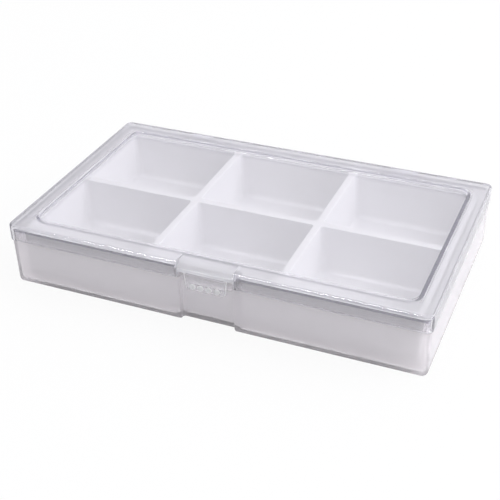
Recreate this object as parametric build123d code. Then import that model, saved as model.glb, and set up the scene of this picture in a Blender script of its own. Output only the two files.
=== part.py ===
from build123d import *
import math
import os

os.makedirs("parts", exist_ok=True)

# A flat clear hinged case with a white six-cavity soap tray standing in it.
# Frame: millimetres, +X along the long side, +Y from the latch side (front)
# to the hinge side (back), +Z up. Origin: centre of the base's underside.

# ---------------------------------------------------------------- dimensions
# whole case
case_length = 200.6            # over the lid, X
case_depth = 118.0             # over the lid, Y
case_height = 31.8             # table to the top of the lid's rim
part_line = 23.4               # height of the ledge that the lid's skirt meets
skirt_gap = 0.1                # air between ledge and skirt
corner_r = 3.0                 # plan radius of the lid's corners

# lid
rim_t = 1.7                    # thickness of the rim
panel_t = 1.5                  # thickness of the sunk panel
skirt_t = 1.4                  # skirt wall
rim_edge_r = 1.1               # rounding of the rim's outer top edge
rim_inner_r = 0.8              # hollow rounding where the rim meets the skirt
skirt_edge_r = 0.35            # rounding of the skirt's outer bottom edge
panel_margin = 9.4             # rim width, outer edge to the sunk panel
panel_depth = 2.2              # how far the panel is sunk below the rim
panel_r = 5.2                  # plan radius of the sunk panel
step_out, step_in = 7.7, 9.7   # sloping step under the rim, from the outer edge

# base
base_inset = 0.55              # base wall behind the lid's skirt face
base_draft = 0.7               # degrees, outer walls
base_wall = 2.1
base_floor = 1.8
base_bottom_r = 2.0            # rounding of the bottom outer edge
lip_gap = 0.2                  # lip to skirt, each side
lip_t = 0.9                    # thin lip inside the lid's skirt
lip_top = 28.7                 # top of that lip

# latch notch in the front wall, and the lid's pocket above it
notch_half = 12.6
notch_depth = 3.0
pocket_half = 13.5             # thumb pocket and skirt gap in the lid
notch_wall = 1.9
notch_edge_r = 1.0             # rounding of the notch's own edges
notch_wall_top = 26.6
cheek_t = 0.9                  # lid walls at both ends of the pocket
cheek_gap = 0.15
ramp_back_y = -(case_depth / 2 - 7.9)   # where the thumb ramp leaves the rim
ramp_front_z = 28.5            # ramp height at the front face
ramp_t = 1.6
tab_lip_z = 26.9               # underside of the edge that the tab hangs from

# latch tab, moulded with the lid and bending along a thin root
tab_half = 10.2                # at its root
tab_foot_half = 9.2            # and at its lower edge
tab_t = 1.5
tab_bottom = 18.4
tab_top = 26.5
tab_front = -(case_depth / 2 - 0.1)
tab_bead_r = 0.8               # round root of the tab
tab_bead_gap = 0.05
tab_axis_y = -(case_depth / 2 - 1.05)
tab_axis_z = 27.35
bump_x0, bump_pitch = -5.85, 3.9
bump_z, bump_r = 20.5, 1.4

# snap catch
nub_half = 12.0
nub_reach = 1.05
nub_low, nub_high = 20.3, 21.9
catch_low, catch_high = 18.7, 20.1
catch_gap = 0.1                # rigid parts: the snap overlap is left out
catch_half = 7.0

# hinge
hinge_y = case_depth / 2 + 2.6
hinge_z = 24.6
knuckle_r = 2.2
pin_r = 1.2
pin_gap = 0.05
hinge_x = 56.0                 # centres of the two hinge stations, +/-
lid_knuckle_w = 14.0
lug_w = 5.0
lug_gap = 0.3

# tray
tray_top = 26.7
tray_t = 1.2                   # wall, cup and flange thickness
tray_x = 95.4                  # outer half length
tray_notch_gap = 0.45          # front skirt to the notch's inner wall
tray_r = 2.2                   # plan radius of the tray's corners
skirt_low = 3.2                # lower edge of the tray's outer skirt
cell_len = 59.3                # cavity mouth, X
cell_wid = 49.6                # cavity mouth, Y
divider_w = 3.6                # top of the walls between cavities
cell_r = 1.6                   # plan radius of a cavity at its mouth
cell_foot_r = 3.2              # and at its floor
cell_draft = 5.0               # degrees
cell_floor_r = 2.5
tray_floor_t = 1.4

# ------------------------------------------------------------------- helpers
hx = case_length / 2
hy = case_depth / 2


def slab(w, d, r, z0, z1, y=0.0, taper=0.0, down=False):
    """Rounded rectangular prism between z0 and z1."""
    sk = Pos(0, y, z1 if down else z0) * RectangleRounded(w, d, r)
    return extrude(sk, amount=z1 - z0, dir=(0, 0, -1) if down else (0, 0, 1),
                   taper=taper)


def block(x0, x1, y0, y1, z0, z1):
    return Pos((x0 + x1) / 2, (y0 + y1) / 2, (z0 + z1) / 2) * Box(
        x1 - x0, y1 - y0, z1 - z0)


def side_prism(points, x0, x1):
    """Prism along X with a profile given as (y, z) points."""
    wire = Polyline([(x0, y, z) for y, z in points], close=True)
    return extrude(make_face(wire), amount=x1 - x0, dir=(1, 0, 0))


def rod(y, z, r, x0, x1):
    """Round bar along X."""
    return Pos((x0 + x1) / 2, y, z) * Rot(0, 90, 0) * Cylinder(r, x1 - x0)


def one_solid(shape):
    solids = shape.solids()
    assert len(solids) == 1, len(solids)
    return solids[0]


# ---------------------------------------------------------------------- base
bx, by = hx - base_inset, hy - base_inset
notch_y = -(by - notch_depth)            # outer face of the notch's wall

base = slab(2 * bx, 2 * by, corner_r, 0, part_line, taper=base_draft, down=True)
base = fillet(base.edges().group_by(Axis.Z)[0], base_bottom_r)
mouth = Pos(0, -by - 5 + notch_depth, part_line + 1) * Rectangle(2 * notch_half, 10)
notch = extrude(mouth, amount=part_line + 2, dir=(0, 0, -1), taper=-base_draft)
base -= notch
rim_edges = [e for e in base.edges()
             if abs(e.center().X) < notch_half + 0.6 and e.center().Y < notch_y + 0.6
             and e.center().Z < part_line - 0.05]
base = fillet(rim_edges, notch_edge_r)

lip_x, lip_y = hx - skirt_t - lip_gap, hy - skirt_t - lip_gap
lip = slab(2 * lip_x, 2 * lip_y, corner_r - skirt_t, part_line - 1, lip_top)
lip -= block(-notch_half, notch_half, -hy - 5, notch_y, part_line - 2, part_line)
cheek_out = pocket_half + cheek_t + cheek_gap
lip -= block(-cheek_out, cheek_out, -hy - 5, notch_y, part_line, lip_top + 1)
lip -= block(-cheek_out, cheek_out, -hy - 5, notch_y + 6,
             notch_wall_top, lip_top + 1)
base += lip

in_x, in_y = lip_x - lip_t, lip_y - lip_t
inner = RectangleRounded(2 * in_x, 2 * in_y, 1.6)
inner -= Pos(0, -in_y, 0) * Rectangle(
    2 * (cheek_out + lip_t), 2 * (in_y + notch_y + notch_wall))
inner_cut = extrude(Pos(0, 0, lip_top) * inner, amount=lip_top - base_floor,
                    dir=(0, 0, -1), taper=0.5)
inner_cut = fillet(inner_cut.edges().group_by(Axis.Z)[0], 1.0)
base -= inner_cut

# nub that the tab's catch sits under
base += side_prism([(notch_y + 0.3, nub_low), (notch_y - nub_reach, nub_low + 0.15),
                    (notch_y - nub_reach, nub_low + 0.6),
                    (notch_y + 0.3, nub_high)], -nub_half, nub_half)

# hinge lugs, two at each station, with bored holes for the lid's stub pins
lug_in = lid_knuckle_w / 2 + lug_gap
for cx in (-hinge_x, hinge_x):
    for s in (-1, 1):
        x0 = cx + s * lug_in
        x1 = cx + s * (lug_in + lug_w)
        x0, x1 = min(x0, x1), max(x0, x1)
        lug = rod(hinge_y, hinge_z, knuckle_r, x0, x1)
        lug += side_prism([(by - 0.8, part_line - 7.4), (by - 0.8, part_line - 0.4),
                           (hinge_y, part_line - 0.4),
                           (hinge_y + knuckle_r, hinge_z),
                           (hinge_y + knuckle_r * 0.75, hinge_z - 2.0)], x0, x1)
        lug -= rod(hinge_y, hinge_z, pin_r + pin_gap, x0 - 1, x1 + 1)
        base += lug
base_box = one_solid(base)

# ----------------------------------------------------------------------- lid
z_skirt = part_line + skirt_gap
z_rim = case_height
z_under = case_height - rim_t
z_panel = case_height - panel_depth
z_panel_under = z_panel - panel_t

lid = slab(2 * hx, 2 * hy, corner_r, z_skirt, z_rim)
lid = fillet(lid.edges().group_by(Axis.Z)[-1], rim_edge_r)
lid = fillet(lid.edges().group_by(Axis.Z)[0], skirt_edge_r)
hollow = slab(2 * (hx - skirt_t), 2 * (hy - skirt_t), corner_r - skirt_t,
              z_skirt - 1, z_under)
lid -= fillet(hollow.edges().group_by(Axis.Z)[-1], rim_inner_r)
# the panel stands proud of the rim's underside, with sloping sides
foot = Pos(0, 0, z_panel_under) * RectangleRounded(
    2 * (hx - step_in), 2 * (hy - step_in), panel_r)
root = Pos(0, 0, z_under + 0.02) * RectangleRounded(
    2 * (hx - step_out), 2 * (hy - step_out), panel_r + step_in - step_out)
lid += loft([foot, root])
lid -= slab(2 * (hx - panel_margin), 2 * (hy - panel_margin), panel_r,
            z_panel, z_rim + 2)
lid = fillet([e for e in lid.edges().group_by(Axis.Z)[-1]
              if abs(e.center().Y) < hy - 5 and abs(e.center().X) < hx - 5], 0.4)
lid = fillet([e for e in lid.edges()
              if abs(e.center().Z - z_panel) < 0.01 and abs(e.center().Y) < hy - 5
              and abs(e.center().X) < hx - 5], 0.4)

# thumb pocket: cut the rim down to a ramp between two cheeks
ramp = [(ramp_back_y, z_rim), (-hy, ramp_front_z)]
lid -= side_prism([ramp[0], ramp[1], (-hy - 3, ramp_front_z), (-hy - 3, z_rim + 3),
                   (ramp_back_y, z_rim + 3)], -pocket_half, pocket_half)
lid -= block(-pocket_half, pocket_half, -hy - 3, -hy + skirt_t + 0.4,
             z_skirt - 1, tab_lip_z)
slope = (z_rim - ramp_front_z) / (ramp_back_y + hy)
under_y0 = -hy + 2.3
under_y1 = -hy + (z_under + ramp_t - ramp_front_z) / slope
lid += side_prism([
    (-hy, ramp_front_z), (-hy, tab_lip_z), (under_y0, tab_lip_z),
    (under_y0, ramp_front_z + slope * 2.3 - ramp_t),
    (under_y1, z_under), (under_y1, z_under + ramp_t)],
    -pocket_half - 0.3, pocket_half + 0.3)
for s in (-1, 1):
    x0, x1 = sorted((s * pocket_half, s * (pocket_half + cheek_t)))
    cheek = side_prism([
        (-hy + 0.6, z_skirt), (notch_y - 0.25, z_skirt), (notch_y - 0.25, 27.4),
        (under_y1, z_under - 0.3), (under_y1, z_under + 0.2),
        (-hy + 0.6, z_under + 0.2)], x0, x1)
    lid += cheek
soft = [e for e in lid.edges().filter_by(Axis.X)
        if abs(e.center().Y + hy) < 0.01 and abs(e.center().Z - ramp_front_z) < 0.01]
lid = fillet(soft, 0.5)

# groove for the tab's round root
lid -= rod(tab_axis_y, tab_axis_z, tab_bead_r + tab_bead_gap,
           -tab_half - 0.15, tab_half + 0.15)
lid -= block(-tab_half - 0.15, tab_half + 0.15, tab_axis_y - 0.62,
             tab_axis_y + 0.62, tab_lip_z - 1, tab_axis_z)

# hinge knuckles with stub pins that snap into the base's lugs
for cx in (-hinge_x, hinge_x):
    x0, x1 = cx - lid_knuckle_w / 2, cx + lid_knuckle_w / 2
    knuckle = rod(hinge_y, hinge_z, knuckle_r, x0, x1)
    knuckle += side_prism([(hy - 0.6, hinge_z - 0.6), (hy - 0.6, hinge_z + 4.6),
                           (hy + 0.2, hinge_z + 4.6),
                           (hinge_y + knuckle_r * 0.8, hinge_z + knuckle_r * 0.6),
                           (hinge_y, hinge_z)], x0, x1)
    knuckle += rod(hinge_y, hinge_z, pin_r, x0 - lug_gap - lug_w + 0.2,
                   x1 + lug_gap + lug_w - 0.2)
    lid += knuckle
lid_shell = one_solid(lid)

# ----------------------------------------------------------------- latch tab
outline = Polyline([(-tab_half, tab_front, tab_top), (-tab_foot_half, tab_front, tab_bottom),
                    (tab_foot_half, tab_front, tab_bottom), (tab_half, tab_front, tab_top)],
                   close=True)
tab = extrude(make_face(outline), amount=tab_t, dir=(0, 1, 0))
tab = fillet([e for e in tab.edges().filter_by(Axis.Y)
              if e.center().Z < tab_bottom + 1], 1.2)
tab = fillet([e for e in tab.edges()
              if abs(e.center().Y - tab_front) < 0.01
              and e.center().Z < tab_top - 0.05], 0.35)
tab += rod(tab_axis_y, tab_axis_z, tab_bead_r, -tab_half, tab_half)
tab += block(-tab_half, tab_half, tab_axis_y - 0.4, tab_axis_y + 0.4,
             tab_top - 0.5, tab_axis_z)
# grip bumps on the front, near the lower edge
for i in range(4):
    bump = Pos(bump_x0 + bump_pitch * i, tab_front, bump_z) * Rot(90, 0, 0) * Cylinder(
        bump_r, 1.2)
    bump = fillet(bump.edges().group_by(Axis.Y)[0], 0.5)
    tab += bump
# catch on the inside
tab += side_prism([(tab_front + tab_t - 0.2, catch_low),
                   (tab_front + tab_t - 0.2, catch_high),
                   (notch_y - nub_reach - catch_gap, catch_high),
                   (notch_y - nub_reach - catch_gap, catch_high - 0.5)],
                  -catch_half, catch_half)
latch_tab = one_solid(tab)

# ---------------------------------------------------------------------- tray
tray_y = -(notch_y + notch_wall + tray_notch_gap)      # outer half depth
cell_x = [-(cell_len + divider_w), 0.0, cell_len + divider_w]
cell_y = [-(cell_wid + divider_w) / 2, (cell_wid + divider_w) / 2]
floor_top = base_floor + tray_floor_t


def cup_block(cx, cy, z_hi, z_lo, grow):
    """Tapered block under one cavity: the mouth's outline grown by grow, drawn in
    by the draft on the way down, its corners widening from cell_r to cell_foot_r."""
    lean = math.tan(math.radians(cell_draft))

    def ring(z, r):
        inset = (tray_top - z) * lean
        return Pos(cx, cy, z) * RectangleRounded(
            cell_len + 2 * grow - 2 * inset, cell_wid + 2 * grow - 2 * inset, r + grow)

    return loft([ring(z_lo, cell_foot_r), ring(z_hi, cell_r)])


tray = slab(2 * tray_x, 2 * tray_y, tray_r, skirt_low, tray_top)
tray = fillet(tray.edges().group_by(Axis.Z)[-1], 0.6)
tray -= slab(2 * (tray_x - tray_t), 2 * (tray_y - tray_t), tray_r - tray_t,
             skirt_low - 1, tray_top - tray_t)
cells = []
for cx in cell_x:
    for cy in cell_y:
        cup = cup_block(cx, cy, tray_top - 0.5, base_floor, tray_t)
        cup = fillet(cup.edges().group_by(Axis.Z)[0], cell_floor_r)
        tray += cup
        cell = cup_block(cx, cy, tray_top, floor_top, 0.0)
        cell = fillet(cell.edges().group_by(Axis.Z)[0], cell_floor_r)
        cells.append(cell)
for cell in cells:
    tray -= cell
mouths = [e for e in tray.edges().group_by(Axis.Z)[-1]
          if abs(e.center().X) < tray_x - 1.4 and abs(e.center().Y) < tray_y - 1.4]
tray = fillet(mouths, 0.5)
cavity_tray = one_solid(tray)
print("cavity centres", cell_x, cell_y, "depth", round(tray_top - floor_top, 2))

# -------------------------------------------------------------------- output
nodes = {
    "base_box": base_box,
    "lid": lid_shell,
    "latch_tab": latch_tab,
    "cavity_tray": cavity_tray,
}
for name, shape in nodes.items():
    export_step(shape, "parts/" + name + ".step")
    bb = shape.bounding_box()
    print(name, "volume", round(shape.volume, 1), "size",
          [round(v, 2) for v in (bb.size.X, bb.size.Y, bb.size.Z)],
          "valid", shape.is_valid)
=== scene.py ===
import math
import bpy
from mathutils import Vector, Matrix


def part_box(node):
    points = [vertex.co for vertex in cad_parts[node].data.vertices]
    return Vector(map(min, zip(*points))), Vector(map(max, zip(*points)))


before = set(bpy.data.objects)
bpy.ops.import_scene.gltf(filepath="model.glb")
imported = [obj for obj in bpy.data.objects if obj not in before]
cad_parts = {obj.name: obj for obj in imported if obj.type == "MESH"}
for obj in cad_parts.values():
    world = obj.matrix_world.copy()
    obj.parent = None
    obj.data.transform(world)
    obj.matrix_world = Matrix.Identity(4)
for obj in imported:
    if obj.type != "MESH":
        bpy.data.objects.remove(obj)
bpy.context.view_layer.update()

scene = bpy.context.scene
scene.view_settings.view_transform = "Standard"
scene.view_settings.look = "None"
scene.view_settings.exposure = 0.0
scene.view_settings.gamma = 1.0


# ------------------------------------------------------------------ camera
cam_data = bpy.data.cameras.new("photo_camera")
cam_data.sensor_width = 36.0
cam_data.lens = 72.76
cam_data.clip_start, cam_data.clip_end = 0.01, 20.0
cam_data.dof.use_dof = False
cam = bpy.data.objects.new("photo_camera", cam_data)
scene.collection.objects.link(cam)
cam.location = (0.160826, -0.382655, 0.271294)
cam.rotation_euler = (math.radians(57.380), math.radians(0.939), math.radians(22.6535))
scene.camera = cam


# --------------------------------------------------------------- node tools
def node(nt, kind, x=0, y=0, **inputs):
    n = nt.nodes.new(kind)
    n.location = (x, y)
    for k, v in inputs.items():
        n.inputs[k.replace("_", " ")].default_value = v
    return n


def link(nt, a, out, b, inp):
    nt.links.new(a.outputs[out], b.inputs[inp])


def new_material(name):
    m = bpy.data.materials.new(name)
    m.use_nodes = True
    m.node_tree.nodes.clear()
    return m, m.node_tree


def noise(nt, coord, scale, detail=2.0, x=-650, y=0, rough=0.5):
    n = node(nt, "ShaderNodeTexNoise", x, y)
    n.inputs["Scale"].default_value = scale
    n.inputs["Detail"].default_value = detail
    n.inputs["Roughness"].default_value = rough
    nt.links.new(coord, n.inputs["Vector"])
    return n.outputs["Fac"]


def remap(nt, value, lo, hi, a, b, x=0, y=0):
    n = node(nt, "ShaderNodeMapRange", x, y)
    n.inputs["From Min"].default_value = lo
    n.inputs["From Max"].default_value = hi
    n.inputs["To Min"].default_value = a
    n.inputs["To Max"].default_value = b
    nt.links.new(value, n.inputs["Value"])
    return n.outputs["Result"]


def maths(nt, op, a, b, x=0, y=0):
    n = node(nt, "ShaderNodeMath", x, y)
    n.operation = op
    for i, v in enumerate((a, b)):
        if isinstance(v, (int, float)):
            n.inputs[i].default_value = v
        elif v is not None:
            nt.links.new(v, n.inputs[i])
    return n.outputs[0]


def blend(nt, where, a, b, x=0, y=0):
    """a where the mask is 0, b where it is 1."""
    keep = maths(nt, "MULTIPLY", a, maths(nt, "SUBTRACT", 1.0, where, x, y), x, y)
    return maths(nt, "ADD", keep, maths(nt, "MULTIPLY", where, b, x, y), x, y)


def lid_texture(nt, xyz):
    """Satin rim around the polished window, and the finely textured thumb ramp in
    the middle of its front edge."""
    off_x = maths(nt, "ABSOLUTE", xyz[0], None)
    off_y = maths(nt, "ABSOLUTE", xyz[1], None)
    wide = maths(nt, "LESS_THAN", off_x, POCKET_HALF)
    front = maths(nt, "LESS_THAN", xyz[1], POCKET_BACK_Y)
    ramp = maths(nt, "MULTIPLY", wide, front)
    ring = maths(nt, "MAXIMUM", maths(nt, "GREATER_THAN", off_x, WINDOW_HALF_X),
                 maths(nt, "GREATER_THAN", off_y, WINDOW_HALF_Y))
    facing = node(nt, "ShaderNodeNewGeometry", -1100, 700)
    split = node(nt, "ShaderNodeSeparateXYZ", -900, 700)
    link(nt, facing, "Normal", split, 0)
    flat = maths(nt, "GREATER_THAN", split.outputs["Z"], 0.75)
    rim = maths(nt, "MULTIPLY", maths(nt, "MULTIPLY", ring, flat), RIM_TEXTURE)
    return maths(nt, "MAXIMUM", ramp, rim)


def tab_texture_and_painted_glint(nt, xyz):
    """The tab's grip bumps and its two cut ends, both textured and given a white frost; the whiteness is
    partly a painted highlight standing in for their glints.
    """
    bumps = maths(nt, "LESS_THAN", xyz[1], TAB_FACE_Y - 0.00008)
    facing = node(nt, "ShaderNodeNewGeometry", -1100, 700)
    split = node(nt, "ShaderNodeSeparateXYZ", -900, 700)
    link(nt, facing, "Normal", split, 0)
    ends = maths(nt, "GREATER_THAN", maths(nt, "ABSOLUTE", split.outputs["X"], None), 0.8)
    return maths(nt, "MAXIMUM", bumps, ends)


def lip_painted_shade(nt, xyz):
    """The top edge of the base's lip, where a dark tint is painted in as shade."""
    return maths(nt, "GREATER_THAN", xyz[2], LIP_TOP - 0.0008)


def clear_plastic(name, tint, rough_low, rough_high, haze_low, haze_high, step_z, see=0.95, see_high=0.95,
                  milk_tone=(0.86, 0.86, 0.89), matt=None, matt_haze=0.5, matt_rough=0.16,
                  soak=(0.2, 0.2, 0.5), soak_density=16.0, edge=None, painted_shade_tint=(0.5, 0.5, 0.6)):
    """Moulded clear plastic: refracting walls, a little white haze and faint flow
    lines. Below step_z it takes the _low values, above it the _high ones. matt
    picks the textured part of the surface, and edge the part that gets painted
    shade: a darker tint standing in for the shade along that edge. Lamps pass through."""
    m, nt = new_material(name)
    out = node(nt, "ShaderNodeOutputMaterial", 900, 0)
    coord = node(nt, "ShaderNodeTexCoord", -1100, 0).outputs["Object"]
    sep = node(nt, "ShaderNodeSeparateXYZ", -900, 350)
    nt.links.new(coord, sep.inputs[0])
    up = remap(nt, sep.outputs["Z"], step_z - 0.0002, step_z + 0.0002, 0.0, 1.0, -700, 400)
    flow = noise(nt, coord, 22.0, 2.0, -900, 100)
    r = remap(nt, up, 0.0, 1.0, rough_low, rough_high, -480, 400)
    bump = node(nt, "ShaderNodeBump", -400, -150)
    bump.inputs["Strength"].default_value = 0.025
    bump.inputs["Distance"].default_value = 0.0005
    nt.links.new(flow, bump.inputs["Height"])
    hazy = remap(nt, up, 0.0, 1.0, haze_low, haze_high, 150, 480)
    rough = r
    if matt:
        where = matt(nt, sep.outputs)
        hazy = blend(nt, where, hazy, matt_haze, 150, 650)
        rough = blend(nt, where, rough, matt_rough, -150, 500)
    glass = node(nt, "ShaderNodeBsdfPrincipled", -50, 200)
    glass.inputs["Base Color"].default_value = (*tint, 1)
    # painted shade: the edge mask darkens the base colour, standing in for the shade seen along the lip's
    # top edge
    if edge:
        dark = node(nt, "ShaderNodeMix", -300, 650)
        dark.data_type = "RGBA"
        dark.inputs["A"].default_value = (*tint, 1)
        dark.inputs["B"].default_value = (*painted_shade_tint, 1)
        nt.links.new(edge(nt, sep.outputs), dark.inputs["Factor"])
        nt.links.new(dark.outputs["Result"], glass.inputs["Base Color"])
    glass.inputs["Transmission Weight"].default_value = 1.0
    glass.inputs["IOR"].default_value = 1.5
    nt.links.new(rough, glass.inputs["Roughness"])
    nt.links.new(bump.outputs[0], glass.inputs["Normal"])
    milk = node(nt, "ShaderNodeBsdfTranslucent", -50, -250)
    milk.inputs["Color"].default_value = (*milk_tone, 1)
    diff = node(nt, "ShaderNodeBsdfDiffuse", -50, -400)
    diff.inputs["Color"].default_value = (*milk_tone, 1)
    both = node(nt, "ShaderNodeMixShader", 170, -300)
    both.inputs["Fac"].default_value = 0.5
    link(nt, milk, 0, both, 1)
    link(nt, diff, 0, both, 2)
    hz = node(nt, "ShaderNodeMixShader", 400, 50)
    nt.links.new(hazy, hz.inputs["Fac"])
    link(nt, glass, 0, hz, 1)
    link(nt, both, 0, hz, 2)
    clear = node(nt, "ShaderNodeBsdfTransparent", 400, -250)
    nt.links.new(remap(nt, up, 0.0, 1.0, see, see_high, 150, -550), clear.inputs["Color"])
    path = node(nt, "ShaderNodeLightPath", 150, 850)
    either = node(nt, "ShaderNodeMath", 400, 800)
    either.operation = "MAXIMUM"
    link(nt, path, "Is Shadow Ray", either, 0)
    link(nt, path, "Is Diffuse Ray", either, 1)
    top = node(nt, "ShaderNodeMixShader", 650, 50)
    link(nt, either, 0, top, "Fac")
    link(nt, hz, 0, top, 1)
    link(nt, clear, 0, top, 2)
    link(nt, top, 0, out, "Surface")
    body = node(nt, "ShaderNodeVolumeAbsorption", 650, -300)
    body.inputs["Color"].default_value = (*soak, 1)
    body.inputs["Density"].default_value = soak_density
    link(nt, body, 0, out, "Volume")
    return m


def tray_plastic(albedo):
    m, nt = new_material("white_tray_plastic")
    out = node(nt, "ShaderNodeOutputMaterial", 700, 0)
    coord = node(nt, "ShaderNodeTexCoord", -900, 0).outputs["Object"]
    grain = noise(nt, coord, 700.0, 2.0, -650, -100)
    broad = noise(nt, coord, 30.0, 2.0, -650, 200)
    bump = node(nt, "ShaderNodeBump", -350, -150)
    bump.inputs["Strength"].default_value = 0.10
    bump.inputs["Distance"].default_value = 0.00004
    nt.links.new(grain, bump.inputs["Height"])
    ramp = node(nt, "ShaderNodeMix", -100, 250)
    ramp.data_type = "RGBA"
    ramp.inputs["A"].default_value = (albedo * 0.985, albedo * 0.98, albedo, 1)
    ramp.inputs["B"].default_value = (albedo * 1.01, albedo * 1.005, albedo * 1.02, 1)
    nt.links.new(remap(nt, broad, 0.3, 0.7, 0.0, 1.0, -350, 250), ramp.inputs["Factor"])
    p = node(nt, "ShaderNodeBsdfPrincipled", 250, 0)
    nt.links.new(ramp.outputs["Result"], p.inputs["Base Color"])
    p.inputs["Roughness"].default_value = 0.45
    p.inputs["IOR"].default_value = 1.45
    link(nt, bump, "Normal", p, "Normal")
    link(nt, p, 0, out, "Surface")
    return m


def plain_floor():
    """White floor: matt paper that the camera sees burnt out to white."""
    m, nt = new_material("studio_floor")
    out = node(nt, "ShaderNodeOutputMaterial", 400, 0)
    paper = node(nt, "ShaderNodeBsdfDiffuse", 0, 0)
    paper.inputs["Color"].default_value = (0.80, 0.80, 0.81, 1)
    burnt = node(nt, "ShaderNodeEmission", 0, -200)
    burnt.inputs["Strength"].default_value = 1.0
    path = node(nt, "ShaderNodeLightPath", 0, 250)
    white = node(nt, "ShaderNodeMixShader", 200, 0)
    fac = node(nt, "ShaderNodeMath", 100, 300)
    fac.operation = "MULTIPLY"
    fac.inputs[1].default_value = 0.9
    link(nt, path, "Is Camera Ray", fac, 0)
    through = node(nt, "ShaderNodeMath", 100, 500)
    through.operation = "MULTIPLY_ADD"
    through.inputs[1].default_value = 0.65
    link(nt, path, "Is Transmission Ray", through, 0)
    link(nt, fac, 0, through, 2)
    link(nt, through, 0, white, "Fac")
    link(nt, paper, 0, white, 1)
    link(nt, burnt, 0, white, 2)
    link(nt, white, 0, out, "Surface")
    return m


LEDGE_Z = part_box("lid")[1].z - 0.0084
FRONT_Y = -0.0590
POCKET_HALF = 0.0136
LIP_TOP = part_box("base_box")[1].z
WINDOW_HALF_X, WINDOW_HALF_Y = 0.0932, 0.0497
RIM_TEXTURE = 0.55
POCKET_BACK_Y = FRONT_Y + 0.0076
TAB_FACE_Y = FRONT_Y + 0.0001
MAT_LID = clear_plastic("clear_lid_plastic", (0.955, 0.95, 0.962), 0.07, 0.07,
                        0.10, 0.10, LEDGE_Z, soak=(0.10, 0.06, 0.45), soak_density=22.0,
                        matt=lid_texture, matt_haze=0.45)
# the tab's bumps and cut ends get a whiter frost: a textured finish, and partly a painted highlight
# standing in for their glints
MAT_TAB = clear_plastic("clear_tab_plastic", (0.955, 0.95, 0.962), 0.07, 0.07,
                        0.10, 0.10, LEDGE_Z, soak=(0.10, 0.06, 0.45), soak_density=12.0,
                        milk_tone=(0.97, 0.97, 0.98), matt=tab_texture_and_painted_glint, matt_haze=0.85)
# the base's lip top edge gets painted shade: a dark tint standing in for the shade seen along it
MAT_BASE = clear_plastic("frosted_base_plastic", (0.94, 0.92, 0.94), 0.12, 0.05,
                         0.27, 0.06, LEDGE_Z, see=0.90, see_high=0.33,
                         milk_tone=(0.95, 0.92, 0.95), soak=(0.3, 0.2, 0.4), soak_density=6.0,
                         edge=lip_painted_shade, painted_shade_tint=(0.22, 0.22, 0.30))
MAT_TRAY = tray_plastic(0.82)

for name, mat in (("base_box", MAT_BASE), ("lid", MAT_LID), ("latch_tab", MAT_TAB),
                  ("cavity_tray", MAT_TRAY)):
    o = bpy.data.objects[name]
    for s in o.material_slots:
        s.link = "OBJECT"
        s.material = mat

# ------------------------------------------------------------------- studio
def floor():
    size = 9.0
    me = bpy.data.meshes.new("studio_floor")
    me.from_pydata([(-size, -size, 0), (size, -size, 0), (size, size, 0), (-size, size, 0)],
                   [], [(0, 1, 2, 3)])
    o = bpy.data.objects.new("studio_floor", me)
    scene.collection.objects.link(o)
    me.materials.append(plain_floor())
    o.location.z = -0.0002
    return o


floor()


def area(name, loc, target, size, energy, colour=(1, 1, 1), size_y=None):
    d = bpy.data.lights.new(name, "AREA")
    d.shape = "RECTANGLE" if size_y else "SQUARE"
    d.size = size
    if size_y:
        d.size_y = size_y
    d.energy = energy
    d.color = colour
    o = bpy.data.objects.new(name, d)
    scene.collection.objects.link(o)
    o.location = loc
    o.rotation_euler = (Vector(target) - Vector(loc)).to_track_quat("-Z", "Y").to_euler()
    return o


area("key_soft", (1.2, 0.3, 0.95), (0, 0, 0.02), 0.9, 10.0)
edge_light = area("edge_light", (-0.42, -0.86, 1.15), (0.0, -0.05, 0.02), 0.70, 26.0, size_y=0.45)
edge_light.visible_diffuse = False
edge_light.visible_transmission = False

# soft studio: bright overhead and from the right and back, dimmer from the front
world = bpy.data.worlds.new("studio_world")
scene.world = world
world.use_nodes = True
wt = world.node_tree
bg = wt.nodes["Background"]
bg.inputs["Color"].default_value = (0.99, 0.985, 0.995, 1)
wdir = node(wt, "ShaderNodeTexCoord", -900, 0).outputs["Generated"]


def lobe(direction, lo, hi, a, b, y):
    dot = node(wt, "ShaderNodeVectorMath", -650, y)
    dot.operation = "DOT_PRODUCT"
    wt.links.new(wdir, dot.inputs[0])
    dot.inputs[1].default_value = Vector(direction).normalized()
    out = remap(wt, dot.outputs["Value"], lo, hi, a, b, -400, y)
    wt.nodes[-1].interpolation_type = "SMOOTHSTEP"
    return out


glow = lobe((0.70, 0.40, 0.60), -0.35, 0.85, 0.50, 1.36, 0)
wt.links.new(glow, bg.inputs["Strength"])
